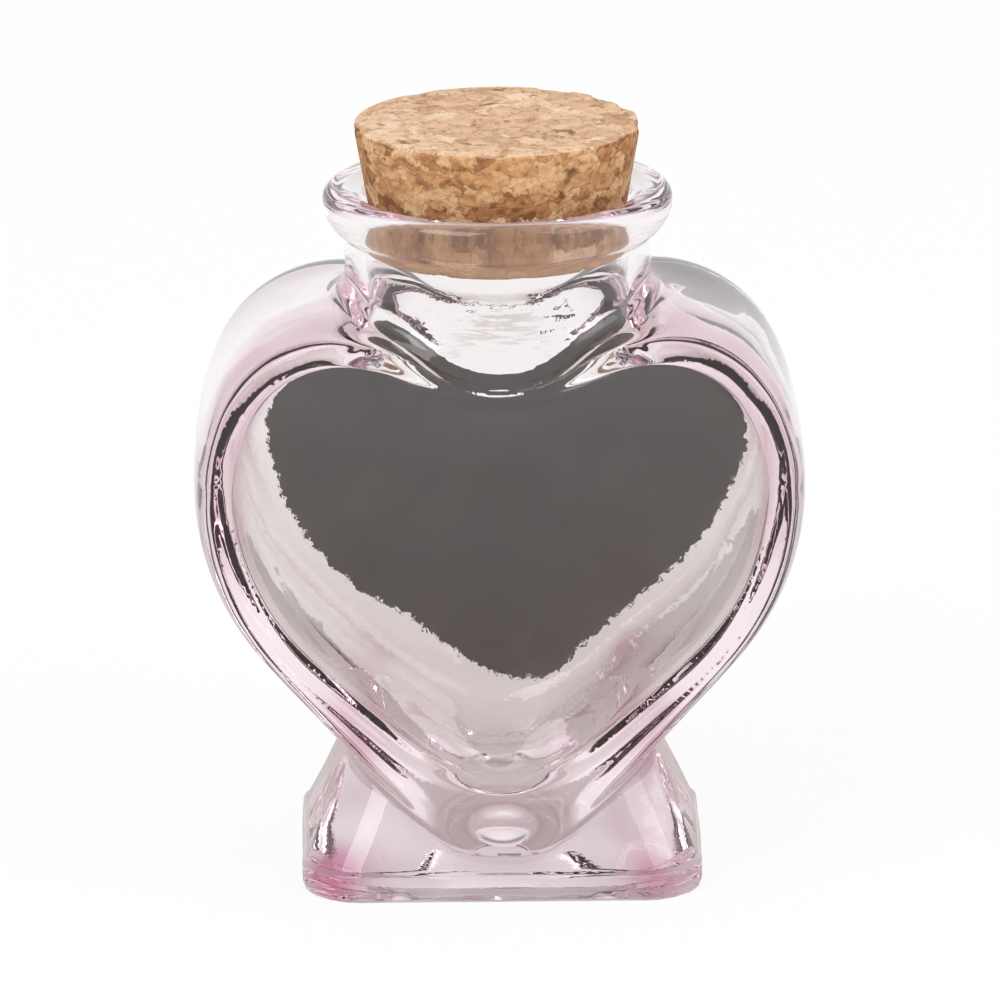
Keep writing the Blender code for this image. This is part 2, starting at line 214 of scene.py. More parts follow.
bottle = {
    "body": {"lobeX": 19.8 * mm, "lobeZ": 56.0 * mm, "lobeRadius": 16.4 * mm, "sideRadius": 31.5 * mm,
             "tipZ": 1.3 * mm, "tipRadius": 12.0 * mm, "notchRadius": 14.6 * mm, "join": math.radians(23.3)},
    "panel": {"lobeX": 18.4 * mm, "lobeZ": 54.6 * mm, "lobeRadius": 16.0 * mm, "sideRadius": 36.0 * mm,
              "tipZ": 14.6 * mm, "tipRadius": 20.0 * mm, "notchRadius": 15.0 * mm, "join": 0.0},
    "halfDepth": 20.0 * mm,
    "panelStep": 0.6 * mm,
    "panelRamp": 2.4 * mm,           # width of the sloping edge round a panel
    "outerPower": 3.1,
    "tipPower": 3.2,                 # squarer by this much at the heart's tip
    "tipReach": (9.0 * mm, 13.0 * mm),
    "sideWall": 4.6 * mm,
    "flatInset": 1.5 * mm,
    "panelWall": 2.8 * mm,
    "floorExtra": 4.8 * mm,
    "innerPower": 2.0,
    "neckRadius": 18.8 * mm,
    "boreRadius": 16.1 * mm,
    "lipTop": 85.9 * mm,
    "lipRidge": 84.2 * mm,
    "lipOverhang": 2.6 * mm,
    "crestInset": 1.8 * mm,
    "lowerRound": 3.8 * mm,
    "mouthFlare": 2.5 * mm,
    "footHalfWidth": 24.7 * mm,
    "footHalfDepth": 20.1 * mm,
    "footCorner": 7.6 * mm,
    "footEdge": 1.4 * mm,
    "bandHeight": 3.6 * mm,
    "pedestalStep": 0.4 * mm,
    "pedestalTop": 22.7 * mm,
    "pedestalLean": math.radians(24),
    "recessInset": 5.0 * mm,
    "recessDepth": 0.8 * mm,
    "recessLean": math.radians(30),
    "grooveZ": 63.9 * mm,            # the hollow line along a panel's notch
    "grooveRadius": 24.0 * mm,
    "grooveWidth": 1.0 * mm,
    "grooveDepth": 0.6 * mm,
    "grooveReach": 10.0 * mm,
    "dimpleZ": 9.8 * mm,             # the oval hollow in the front of the heart's tip
    "dimpleReach": (4.2 * mm, 2.6 * mm),
    "dimpleDepth": 0.8 * mm,
    "footWave": (0.16 * mm, 130.0),
    "footWaveTop": 16.0 * mm,
    "footWaveRise": 1.5 * mm,
    "footWaveHigh": 0.6,             # the noise's value that leaves the surface in place
    "neckFillet": 3.0 * mm,          # at the sides
    "frontNeckFillet": 2.0 * mm,
    "boreFillet": 3.0 * mm,
    "footFillet": 0.8 * mm,
    "smallFillet": 0.5 * mm,
    "lipFillet": 1.0 * mm,
    "voxel": 0.65 * mm,
    "quickVoxel": 1.1 * mm,
    "evenRounds": 8,                 # spread the mesh's points before they are fitted
    "settledRounds": 25,             # how far the blown inside runs smooth
    "shoulderRounds": 160,           # and further up, where it opens into the neck
    "shoulderFrom": 56.0 * mm,
    "shoulderTo": 63.0 * mm,
    "shadingRounds": 12,
    "flatWall": (0.75, 0.95),        # how squarely a wall faces front or back where it ripples
    "leastDeep": 1.0 * mm,           # what lies deeper than this is a wall of the hollow
    "boreKeptFrom": 74.0 * mm,
    "boreKeptTo": 78.0 * mm,
    "innerWaves": ((0.10 * mm, 110.0), (0.02 * mm, 330.0)),   # height and waves in a metre
    "finestEdge": 0.2 * mm,          # edges that bend are halved down to this length
    "sharpestBend": math.radians(5),
    "refinings": 2,
}
cavityHeart = dict(bottle["body"], tipZ=bottle["body"]["tipZ"] + bottle["floorExtra"])


def bellAt(offset, reach):
    return np.exp(-(offset / reach) ** 2)


def bodyDistance(x, y, z):
    # the panels stand proud, and their faces slope off across their edge
    edge = np.clip(0.5 - heartDistance(x, z, bottle["panel"]) / bottle["panelRamp"], 0, 1)
    proud = bottle["panelStep"] * edge * edge * (3 - 2 * edge)
    halfDepth = bottle["halfDepth"] - bottle["panelStep"] + proud
    tip = bellAt(x, bottle["tipReach"][0]) * bellAt(np.maximum(z, 0), bottle["tipReach"][1])
    power = bottle["outerPower"] + bottle["tipPower"] * tip
    return puffedHeart(x, y, z, bottle["body"], bottle["panel"], halfDepth, power)


def neckDistance(x, y, z):
    r = np.hypot(x, y)
    up = z - bottle["lipRidge"]
    pastNeck = r - bottle["neckRadius"]
    crest = bottle["neckRadius"] + bottle["lipOverhang"] - bottle["crestInset"]
    upperRound = bottle["lipTop"] - bottle["lipRidge"]
    rim = ovalDistance(r - crest, up, bottle["crestInset"], upperRound)
    upper = np.where(r > crest, rim, up - upperRound)
    lower = ovalDistance(np.maximum(pastNeck, 0), up, bottle["lipOverhang"], bottle["lowerRound"])
    return softMin(np.where(up > 0, upper, lower), np.maximum(pastNeck, up), bottle["lipFillet"])


def boreDistance(x, y, z):
    r = np.hypot(x, y)
    crest = bottle["neckRadius"] + bottle["lipOverhang"] - bottle["crestInset"]
    up = z - (bottle["lipTop"] - bottle["mouthFlare"])
    flare = ovalDistance(crest - r, up, crest - bottle["boreRadius"], bottle["mouthFlare"])
    mouth = np.where(r < crest, -flare, bottle["mouthFlare"] - up)
    floor = bottle["body"]["lobeZ"] - z
    return np.where(up > 0, mouth, np.maximum(r - bottle["boreRadius"], floor))


def footPlan(x, y, inset=0):
    # how far a point lies outside the foot's outline, drawn in by the inset
    halfWidth, halfDepth = bottle["footHalfWidth"] - inset, bottle["footHalfDepth"] - inset
    return planDistance(x, y, halfWidth, halfDepth, bottle["footCorner"])


def footDistance(x, y, z):
    plan = footPlan(x, y)
    edge = bottle["footEdge"]
    rounded = np.hypot(np.maximum(plan + edge, 0), np.maximum(edge - z, 0)) - edge
    band = np.where(z < edge, np.maximum(rounded, -z), plan)
    band = softMax(band, z - bottle["bandHeight"], bottle["smallFillet"])
    lean = bottle["pedestalLean"]
    drawnIn = bottle["pedestalStep"] + np.maximum(z - bottle["bandHeight"], 0) * math.tan(lean)
    pedestal = np.maximum(footPlan(x, y, drawnIn) * math.cos(lean), z - bottle["pedestalTop"])
    return np.maximum(softMin(band, pedestal, bottle["smallFillet"]), -z)


def recessDistance(x, y, z):
    lean = bottle["recessLean"]
    walls = footPlan(x, y, bottle["recessInset"] + z * math.tan(lean)) * math.cos(lean)
    return np.maximum(walls, z - bottle["recessDepth"])


def hollowDistance(x, y, z):
    halfDepth = bottle["halfDepth"] - bottle["panelWall"]
    cavity = puffedHeart(x, y, z, cavityHeart, bottle["panel"], halfDepth,
                         bottle["innerPower"], bottle["sideWall"], bottle["flatInset"])
    return softMin(cavity, boreDistance(x, y, z), bottle["boreFillet"])


def notchGroove(x, z):
    # the hollow line between the neck and the top of each panel
    away = z - bottle["grooveZ"] - x * x / (2 * bottle["grooveRadius"])
    return bottle["grooveDepth"] * bellAt(away, bottle["grooveWidth"]) * bellAt(x, bottle["grooveReach"])


def tipDimple(x, y, z):
    away = (x / bottle["dimpleReach"][0]) ** 2 + ((z - bottle["dimpleZ"]) / bottle["dimpleReach"][1]) ** 2
    return bottle["dimpleDepth"] * np.maximum(1 - away, 0) ** 2 * (y < 0)


def outsideDistance(points):
    x, y, z = points[:, 0], points[:, 1], points[:, 2]
    towardsFront = y * y / np.maximum(x * x + y * y, tiny)
    neckFillet = bottle["neckFillet"] + (bottle["frontNeckFillet"] - bottle["neckFillet"]) * towardsFront
    outside = softMin(bodyDistance(x, y, z), neckDistance(x, y, z), neckFillet)
    outside = softMin(outside, footDistance(x, y, z), bottle["footFillet"])
    outside += notchGroove(x, z) + tipDimple(x, y, z)
    return softMax(outside, -recessDistance(x, y, z), bottle["smallFillet"])


def glassDistance(points):
    return np.maximum(outsideDistance(points), -hollowDistance(points[:, 0], points[:, 1], points[:, 2]))


def slopeOf(distance, points):
    step = fitting["slopeStep"]
    slopes = np.empty_like(points)
    for axis in range(3):
        shift = np.zeros(3)
        shift[axis] = step
        slopes[:, axis] = (distance(points + shift) - distance(points - shift)) / (2 * step)
    return slopes


def settle(points, distance, rounds):
    # moves each point along the slope until the distance there is 0
    for _ in range(rounds):
        slopes = slopeOf(distance, points)
        steepness = np.maximum((slopes ** 2).sum(1), fitting["leastSteepness"])
        moves = -(distance(points) / steepness)[:, None] * slopes
        length = np.maximum(np.linalg.norm(moves, axis=1, keepdims=True), tiny)
        points = points + moves * np.minimum(1, fitting["longestMove"] / length)
    return points


def evened(values, edges, pulls=None):
    # moves each value part of the way to the mean of its neighbours'
    here, there = np.concatenate((edges, edges[:, ::-1])).T
    pulls = np.ones(len(here)) if pulls is None else np.concatenate((pulls, pulls))
    count = np.maximum(np.bincount(here, pulls, len(values)), tiny)
    middle = [np.bincount(here, pulls * values[there, axis], len(values)) / count for axis in range(3)]
    return values + fitting["evenShare"] * (np.stack(middle, axis=1) - values)


def nearnessPulls(points, edges):
    # neighbours pull by how near they are, so that an uneven mesh stays in its surface
    length = np.linalg.norm(points[edges[:, 0]] - points[edges[:, 1]], axis=1)
    return 1 / np.maximum(length, fitting["nearest"])


def remeshed(nodeName, voxel):
    # a fine even mesh of a CAD node, on a new object
    source = bpy.data.objects.new(nodeName + "Source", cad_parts[nodeName].data.copy())
    bpy.context.scene.collection.objects.link(source)
    welded = bmesh.new()
    welded.from_mesh(source.data)
    bmesh.ops.remove_doubles(welded, verts=welded.verts, dist=fitting["weld"])
    welded.to_mesh(source.data)
    welded.free()
    remesh = source.modifiers.new("Even", "REMESH")
    remesh.mode = "VOXEL"
    remesh.voxel_size = voxel
    bpy.context.view_layer.update()
    mesh = bpy.data.meshes.new_from_object(source.evaluated_get(bpy.context.evaluated_depsgraph_get()))
    bpy.data.objects.remove(source)
    return mesh


def unitSlopes(distance, points):
    slopes = slopeOf(distance, points)
    return slopes / np.maximum(np.linalg.norm(slopes, axis=1, keepdims=True), tiny)


def refineBends(mesh, normals, allowed):
    # halves the edges along which the surface bends most
    made = bmesh.new()
    made.from_mesh(mesh)
    made.edges.ensure_lookup_table()
    _, edges = meshPoints(mesh)
    bend = (normals[edges[:, 0]] * normals[edges[:, 1]]).sum(1)
    bent = (bend < math.cos(bottle["sharpestBend"])) & allowed[edges].all(axis=1)
    bent = [made.edges[index] for index in np.nonzero(bent)[0]]
    bent = [edge for edge in bent if edge.calc_length() > 2 * bottle["finestEdge"]]
    bmesh.ops.subdivide_edges(made, edges=bent, cuts=1, use_grid_fill=True)
    made.to_mesh(mesh)
    made.free()


def meshPoints(mesh):
    points = np.empty(len(mesh.vertices) * 3)
    mesh.vertices.foreach_get("co", points)
    edges = np.empty(len(mesh.edges) * 2, np.int32)
    mesh.edges.foreach_get("vertices", edges)
    return points.reshape(-1, 3), edges.reshape(-1, 2)


def newPiece(name, mesh, body, node, material):
    piece = bpy.data.objects.new(name, mesh)
    bpy.context.scene.collection.objects.link(piece)
    mesh.materials.clear()
    mesh.materials.append(material)
    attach(piece, body)
    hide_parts(node)
    return piece


glassFinish = {
    "tint": (0.965, 0.950, 0.948),
    "rose": (0.46, 0.13, 0.24),      # where the colour has gathered
    "lilac": (0.66, 0.62, 0.65),     # in the foot
    "grey": (0.36, 0.30, 0.30),      # painted shade at the heart's thick tip and over the foot's edge
    "dusty": (0.62, 0.46, 0.50),     # along the inside of the panel's edge
    "ior": 1.5,
    "depthColour": (0.94, 0.42, 0.62, 1),
    "depthDensity": 5.0,
    "lensZ": 9.8 * mm,               # the clear oval at the tip, with darker rings round it, which are painted reflections
    "lensReach": (4.2 * mm, 2.7 * mm),
    "lensSmile": (0.80, 0.15),       # place and width, in reaches of the oval
    "smileStops": [(0.30, 0.0), (0.62, 1.0)],
    "lensRings": ((1.10, 0.13, 1.0), (1.62, 0.10, 0.8), (1.95, 0.16, 0.6)),   # place, width, strength
    "ringShare": 0.7,
    "lineShare": 0.92,
    "lensFrontY": -15 * mm,
    "lensLine": (0.02, 0.015, 0.015, 1),
    "lensRing": (0.55, 0.42, 0.44, 1),
    "ledgeZ": 6.0 * mm,              # a broken dark line over the foot's edge, a painted reflection
    "ledgeHalf": 7.5 * mm,
    "ledgeWidth": 0.35 * mm,
    "ledgeFade": [(0.0, 0.0), (0.3, 1.0)],
    "breaks": (480.0, 3.0),
    "breakStops": [(0.47, 0.0), (0.55, 1.0)],
    "swell": (120.0, 1.0),           # slow waves: how many in a metre, and their detail
    "swellDepth": 0.05,              # depths in mm
    "ripple": (1200.0, 2.0),         # fine ripples on the walls of the hollow
    "rippleDepth": 0.018,
    "flow": (620.0, 1.0),            # long level ripples in front of the neck and below it
    "flowStretch": (0.26, 0.26, 1.5),
    "flowDepth": 0.10,
    "flowFront": 6 * mm,
    "flowMiddle": (1 * mm, 67 * mm),
    "flowReach": (8 * mm, 9 * mm),
    "stipple": (900.0, 1.0),         # the foot's grainy lower edge
    "stippleDepth": 0.05,
    "stippleTop": 1.2 * mm,
}
# where the colours lie: a middle and a reach for each band, a start and a length for each rise
tintPlaces = {
    "panelFace": (6 * mm, 6 * mm),
    "outerBand": (1.5 * mm, 1.7 * mm),
    "outerSide": (13 * mm, 9 * mm),
    "outerHeight": (34 * mm, 16 * mm),
    "dustyBand": (-2.1 * mm, 1.0 * mm),
    "dustySide": (22 * mm, 7 * mm),
    "dustyHeight": (38 * mm, 8 * mm),
    "cornerSide": (20 * mm, 5 * mm),
    "cornerHeight": (3.6 * mm, 4 * mm),
    "cornerFace": (18 * mm, 7 * mm),
    "kneeSide": (18.5 * mm, 4.5 * mm),
    "kneeHeight": (18 * mm, 5 * mm),
    "footSkin": (0, 1 * mm),
    "footHeight": (22 * mm, -4 * mm),       # it rises downwards
    "tipSide": (0, 8.5 * mm),
    "tipHeight": (10 * mm, 4.5 * mm),
    "tipFace": (8 * mm, 5 * mm),
    "tipOval": (0.9, 0.25),
    "ledgeSide": (0, 12 * mm),
    "ledgeHeight": (4.4 * mm, 1.3 * mm),
}
tintStrengths = {
    "patchWaves": 170,
    "foot": 0.8,
    "footPatches": 0.5,
    "tip": 0.8,
    "ledge": 0.6,
    "knees": 0.7,
    "cornerPatches": 0.9,
    "outer": 0.42,
    "outerPatches": 0.5,
}


def cloud(start, coords, scale, detail):
    return start.node("ShaderNodeTexNoise", {}, {"Vector": coords, "Scale": scale, "Detail": detail})


def painted(start, name):
    # a value that is kept on the mesh's points
    return start.node("ShaderNodeAttribute", {"attribute_name": name}, output="Fac")


def stripe(value, centre, reach):
    # 1 at the centre, and 0 from the reach on
    away = value - centre
    return (away.maths("ABSOLUTE", away, 0) * (1 / reach)).ramp([(0.0, 1.0), (1.0, 0.0)], "EASE")


def paintedTipReflections(start, coords, tint):
    # painted reflections at the foot of the heart in front: rings round a clear oval, a dark smile under it,
    # and a dark broken line below
    place = start.node("ShaderNodeSeparateXYZ", {}, {0: coords})
    x, y, z = (Socket(start.tree, place.link.node.outputs[axis]) for axis in range(3))
    front = y.maths("LESS_THAN", y, glassFinish["lensFrontY"])
    reachX, reachZ = glassFinish["lensReach"]
    fromLens = start.node("ShaderNodeVectorMath", {"operation": "SUBTRACT"},
                          {0: coords, 1: (0, 0, glassFinish["lensZ"])})
    across = start.node("ShaderNodeVectorMath", {"operation": "MULTIPLY"},
                        {0: fromLens, 1: (1 / reachX, 0, 1 / reachZ)})
    oval = start.node("ShaderNodeVectorMath", {"operation": "LENGTH"}, {0: across}, output="Value")
    below = ((glassFinish["lensZ"] - z) * (1 / reachZ)).ramp(glassFinish["smileStops"])
    smile = stripe(oval, *glassFinish["lensSmile"]) * below * front
    rings = [stripe(oval, at, width) * strength for at, width, strength in glassFinish["lensRings"]]
    broken = cloud(start, coords, *glassFinish["breaks"]).ramp(glassFinish["breakStops"])
    middle = stripe(x, 0.0, glassFinish["ledgeHalf"]).ramp(glassFinish["ledgeFade"])
    line = stripe(z, glassFinish["ledgeZ"], glassFinish["ledgeWidth"]) * middle * broken * front
    marked = (sum(rings) * front * glassFinish["ringShare"]).mixed("MIX", tint, glassFinish["lensRing"])
    dark = smile.maths("MAXIMUM", smile, line) * glassFinish["lineShare"]
    return dark.mixed("MIX", marked, glassFinish["lensLine"])


def glassMaterial():
    material, start, output = newMaterial("pinkGlass")
    coords = start.node("ShaderNodeTexCoord", output="Object")
    drawn = start.node("ShaderNodeVectorMath", {"operation": "MULTIPLY"},
                       {0: coords, 1: glassFinish["flowStretch"]})
    swell = cloud(start, coords, *glassFinish["swell"])
    ripple = cloud(start, coords, *glassFinish["ripple"]) * painted(start, "inside")
    flow = cloud(start, drawn, *glassFinish["flow"]) * painted(start, "flowing")
    stipple = cloud(start, coords, *glassFinish["stipple"]) * painted(start, "stippled")
    height = (swell * glassFinish["swellDepth"] + ripple * glassFinish["rippleDepth"]
              + flow * glassFinish["flowDepth"] + stipple * glassFinish["stippleDepth"])
    bump = start.node("ShaderNodeBump", {}, {"Strength": 1.0, "Distance": mm, "Height": height})
    tint = start.node("ShaderNodeAttribute", {"attribute_name": "tint"}, output="Color")
    shader = start.node("ShaderNodeBsdfPrincipled", {}, {
        "Base Color": paintedTipReflections(start, coords, tint),
        "Roughness": 0.0,
        "IOR": glassFinish["ior"],
        "Transmission Weight": 1.0,
        "Normal": bump,
    })
    depth = start.node("ShaderNodeVolumeAbsorption", {}, {
        "Color": glassFinish["depthColour"],
        "Density": glassFinish["depthDensity"],
    })
    connect(shader, output, "Surface")
    connect(depth, output, "Volume")
    return material


def innerShare(points):
    # 1 on the walls of the hollow, and 0 outside and where the cork sits
    inside = outsideDistance(points) < -bottle["leastDeep"]
    below = (bottle["boreKeptTo"] - points[:, 2]) / (bottle["boreKeptTo"] - bottle["boreKeptFrom"])
    return inside * np.clip(below, 0, 1)


def flowShare(points, inner):
    # level ripples on the front wall of the hollow, between the neck and the notch
    x, y, z = points.T
    front = np.clip(-y / glassFinish["flowFront"], 0, 1)
    middleX, middleZ = glassFinish["flowMiddle"]
    reachX, reachZ = glassFinish["flowReach"]
    return inner * front * bellAt(x - middleX, reachX) * bellAt(z - middleZ, reachZ)


def stippleShare(points):
    return np.clip(1 - points[:, 2] / glassFinish["stippleTop"], 0, 1)


def noiseAt(points, waves):
    return np.array([noise.noise(Vector(point) * waves) for point in points])


def bandAt(value, name):
    middle, reach = tintPlaces[name]
    return bellAt(value - middle, reach)


def riseAt(value, name):
    start, length = tintPlaces[name]
    return np.clip((value - start) / length, 0, 1)


def tintAt(points):
    # rose along the panels' outer edges, low on the sides and at the foot's corners; painted grey shade at
    # the tip and over the foot's edge
    x, y, z = points.T
    side, face = np.abs(x), np.abs(y)
    fromPanel = heartDistance(x, z, bottle["panel"])
    outer = bandAt(fromPanel, "outerBand") * riseAt(side, "outerSide")
    outer *= riseAt(face, "panelFace") * riseAt(z, "outerHeight")
    dusty = bandAt(fromPanel, "dustyBand") * riseAt(side, "dustySide")
    dusty *= riseAt(face, "panelFace") * riseAt(z, "dustyHeight")
    corners = bandAt(side, "cornerSide") * bandAt(z, "cornerHeight") * bandAt(face, "cornerFace")
    knees = bandAt(side, "kneeSide") * bandAt(z, "kneeHeight")
    foot = bandAt(footDistance(x, y, z), "footSkin") * riseAt(z, "footHeight")
    reachX, reachZ = glassFinish["lensReach"]
    oval = np.hypot(x / reachX, (z - glassFinish["lensZ"]) / reachZ)
    # painted shade: the tip round the clear oval and the ledge over the foot's edge are greyed
    tip = bandAt(side, "tipSide") * bandAt(z, "tipHeight") * riseAt(face, "tipFace")
    tip *= riseAt(oval, "tipOval") * (y < 0)
    ledge = bandAt(side, "ledgeSide") * bandAt(z, "ledgeHeight") * (y < 0)
    much = tintStrengths
    patches = noiseAt(points, much["patchWaves"])
    roseLow = (corners + much["knees"] * knees) * (1 + much["cornerPatches"] * patches)
    shares = (
        ("lilac", foot * (much["foot"] + much["footPatches"] * patches)),
        ("grey", much["tip"] * tip + much["ledge"] * ledge),
        ("dusty", dusty),
        ("rose", roseLow + much["outer"] * outer * (1 + much["outerPatches"] * patches)),
    )
    tints = np.tile(glassFinish["tint"], (len(points), 1))
    for name, share in shares:
        tints += np.clip(share, 0, 1)[:, None] * (np.array(glassFinish[name]) - tints)
    return tints


def paint(mesh, name, values):
    mesh.attributes.new(name, "FLOAT", "POINT").data.foreach_set("value", values.astype(np.float32))


def paintTint(mesh, tints):
    opaque = np.ones((len(tints), 1))
    colours = np.hstack((tints, opaque)).astype(np.float32)
    mesh.attributes.new("tint", "FLOAT_COLOR", "POINT").data.foreach_set("color", colours.ravel())


def wavesAt(points):
    heights = np.zeros(len(points))
    for height, waves in bottle["innerWaves"]:
        heights += height * noiseAt(points, waves)
    return heights


def raised(points, normals, heightAt):
    # lifts a surface by a height that varies, and turns its normals with it
    slopes = slopeOf(heightAt, points)
    slopes -= (slopes * normals).sum(1)[:, None] * normals
    bent = normals - slopes
    return points + normals * heightAt(points)[:, None], bent / np.linalg.norm(bent, axis=1, keepdims=True)


def footWavesAt(points):
    # the foot's faces are a little wavy, and its edges stay
    height, waves = bottle["footWave"]
    top = bottle["footWaveTop"]
    share = np.clip((top - points[:, 2]) / (top / 2), 0, 1)
    share *= np.clip(points[:, 2] / bottle["footWaveRise"], 0, 1)
    return height * share * (noiseAt(points, waves) - bottle["footWaveHigh"])


def meshNormals(mesh):
    normals = np.empty(len(mesh.vertices) * 3)
    mesh.vertex_normals.foreach_get("vector", normals)
    return normals.reshape(-1, 3)


def fittedGlass():
    # the solid's mesh, moved onto the formulas above, with finer edges where it bends
    mesh = remeshed("glass_bottle", bottle["voxel"])
    for refining in range(bottle["refinings"] + 1):
        points, edges = meshPoints(mesh)
        if refining == 0:
            for _ in range(bottle["evenRounds"]):
                points = evened(points, edges)
        points = settle(points, glassDistance, fitting["firstMoves"])
        for _ in range(fitting["evenings"]):
            points = settle(evened(points, edges), glassDistance, fitting["laterMoves"])
        mesh.vertices.foreach_set("co", points.ravel())
        normals = unitSlopes(glassDistance, points)
        inner = innerShare(points)
        if refining < bottle["refinings"]:
            refineBends(mesh, normals, inner == 0)
    return mesh, points, edges, normals, inner


def blowInside(mesh, points, edges, normals, inner):
    # the blown inside has no corners: its points and normals run smooth
    upper = (points[:, 2] - bottle["shoulderFrom"]) / (bottle["shoulderTo"] - bottle["shoulderFrom"])
    upper = np.clip(upper, 0, 1) * inner
    pulls = nearnessPulls(points, edges)
    for turn in range(bottle["settledRounds"] + bottle["shoulderRounds"]):
        share = inner if turn < bottle["settledRounds"] else upper
        points += share[:, None] * (evened(points, edges, pulls) - points)
    mesh.vertices.foreach_set("co", points.ravel())
    blown = meshNormals(mesh)
    for _ in range(bottle["shadingRounds"]):
        blown = evened(blown, edges, pulls)
    blown /= np.maximum(np.linalg.norm(blown, axis=1, keepdims=True), tiny)
    normals += inner[:, None] * (blown - normals)


def waveGlass(points, normals, inner):
    # the hollow's walls and the foot's faces are a little wavy
    walls = inner > 0
    points[walls], waved = raised(points[walls], normals[walls], wavesAt)
    normals[walls] += inner[walls][:, None] * (waved - normals[walls])
    foot = (inner == 0) & (points[:, 2] < bottle["footWaveTop"])
    points[foot], normals[foot] = raised(points[foot], normals[foot], footWavesAt)
    normals /= np.linalg.norm(normals, axis=1, keepdims=True)


def paintGlass(mesh, points, normals, inner):
    low, high = bottle["flatWall"]
    squarely = np.clip((np.abs(normals[:, 1]) - low) / (high - low), 0, 1)
    paint(mesh, "inside", inner * squarely)
    paint(mesh, "flowing", flowShare(points, inner))
    paint(mesh, "stippled", stippleShare(points) * (inner == 0))
    paintTint(mesh, np.where(inner[:, None] > 0, glassFinish["tint"], tintAt(points)))


def buildGlass():
    mesh, points, edges, normals, inner = fittedGlass()
    blowInside(mesh, points, edges, normals, inner)
    waveGlass(points, normals, inner)
    points = np.clip(points, *np.array(cadBox))
    mesh.vertices.foreach_set("co", points.ravel())
    mesh.update()
    thinnest = -outsideDistance(points[inner > 0]).max()
    print("glass:", len(mesh.polygons), "faces, wall from", round(thinnest / mm, 2), "mm")
    mesh.polygons.foreach_set("use_smooth", [True] * len(mesh.polygons))
    mesh.normals_split_custom_set_from_vertices(normals)
    mesh.update()
    paintGlass(mesh, points, normals, inner)
    return newPiece("glassBottle", mesh, "bottle", "glass_bottle", glassMaterial())


# Label

label = {
    "heart": {"lobeX": 14.9 * mm, "lobeZ": 52.0 * mm, "lobeRadius": 14.5 * mm, "sideRadius": 27.0 * mm,
              "tipZ": 17.2 * mm, "tipRadius": 6.0 * mm, "notchRadius": 2.4 * mm, "join": 0.0},
    "turn": math.radians(4.2),
    "shiftX": 1.8 * mm,
    "inkDepth": 0.03 * mm,           # its face lies this deep in the glass, as glue wets it
    "backY": 20.2 * mm,
    "rays": 1600,
    "ringShares": (0.0, 0.3, 0.55, 0.75, 0.88, 0.95, 0.985, 1.0),
    "farthest": 45 * mm,             # no point of its edge lies farther from its middle
    "halvings": 22,
    "ragged": 0.32 * mm,
    "raggedWaves": 1000.0,
    "fineWaves": 3.1,                # times the waves above
    "fineShare": 1.2,
    "edgeLayer": 0.1,                # where the noise is read, for the dark edge and for the pale one
    "paleLayer": 0.4,
    "fineLayer": 0.6,
    "paleEdge": 0.75 * mm,           # the cut edge of the sticker, along its lower sides
    "paleBelow": 60.0 * mm,
    "paleFade": 12 * mm,
    "leastPale": 0.15,
    "paleRagged": 0.8,
    "thinnestPale": 0.05 * mm,
    "mottle": (110.0, 5.0),
    "tones": [(0.34, (0.034, 0.013, 0.008, 1)), (0.5, (0.047, 0.021, 0.014, 1)),
              (0.68, (0.066, 0.036, 0.027, 1))],
    "specks": (1400.0, 3.0),
    "speckStops": [(0.72, 0.0), (0.78, 0.35)],
    "speckColour": (0.2, 0.17, 0.16, 1),
    "roughness": 0.6,
    "edgeMottle": (900.0, 3.0),
    "edgeTones": [(0.3, (0.72, 0.62, 0.62, 1)), (0.6, (0.93, 0.87, 0.87, 1))],
    "edgeRoughness": 0.7,
}


def raggedness(x, z, layer):
    waves = label["raggedWaves"]
    coarse = noise.noise(Vector((x, layer, z)) * waves)
    fine = noise.noise(Vector((x, layer + label["fineLayer"], z)) * waves * label["fineWaves"])
    return label["ragged"] * (coarse + label["fineShare"] * fine)


def paleWidth(x, z):
    lower = min(max((label["paleBelow"] - z) / label["paleFade"], label["leastPale"]), 1)
    torn = label["paleRagged"] * raggedness(x, z, label["paleLayer"])
    return max(label["paleEdge"] * lower + torn, label["thinnestPale"])


def labelRadius(angle, middleZ):
    # where a ray from the middle leaves the heart
    low, high = 0.0, label["farthest"]
    for _ in range(label["halvings"]):
        middle = (low + high) / 2
        x, z = middle * math.cos(angle), middleZ + middle * math.sin(angle)
        away = heartDistance(np.array([x]), np.array([z]), label["heart"])[0]
        inside = away + raggedness(x, z, label["edgeLayer"]) < 0
        low, high = (middle, high) if inside else (low, middle)
    return low


def mattShader(start, colour, roughness):
    return start.node("ShaderNodeBsdfPrincipled", {}, {"Base Color": colour, "Roughness": roughness})


def labelMaterial():
    material, start, output = newMaterial("darkLabel")
    coords = start.node("ShaderNodeTexCoord", output="Object")
    colour = cloud(start, coords, *label["mottle"]).ramp(label["tones"])
    specks = cloud(start, coords, *label["specks"]).ramp(label["speckStops"])
    speckled = specks.mixed("MIX", colour, label["speckColour"])
    connect(mattShader(start, speckled, label["roughness"]), output, "Surface")
    return material


def paleEdgeMaterial():
    material, start, output = newMaterial("labelEdge")
    coords = start.node("ShaderNodeTexCoord", output="Object")
    colour = cloud(start, coords, *label["edgeMottle"]).ramp(label["edgeTones"])
    connect(mattShader(start, colour, label["edgeRoughness"]), output, "Surface")
    return material


def labelRings(made, angles, radii, widths, y, middleZ):
    # rings of points from the middle to the dark edge, then the pale cut edge
    reaches = [[share * r for r in radii] for share in label["ringShares"][1:]]
    reaches.append([r + width for r, width in zip(radii, widths)])
    rings = []
    for reach in reaches:
        places = [(r * math.cos(a), y, middleZ + r * math.sin(a)) for a, r in zip(angles, reach)]
        rings.append([made.verts.new(place) for place in places])
    return rings


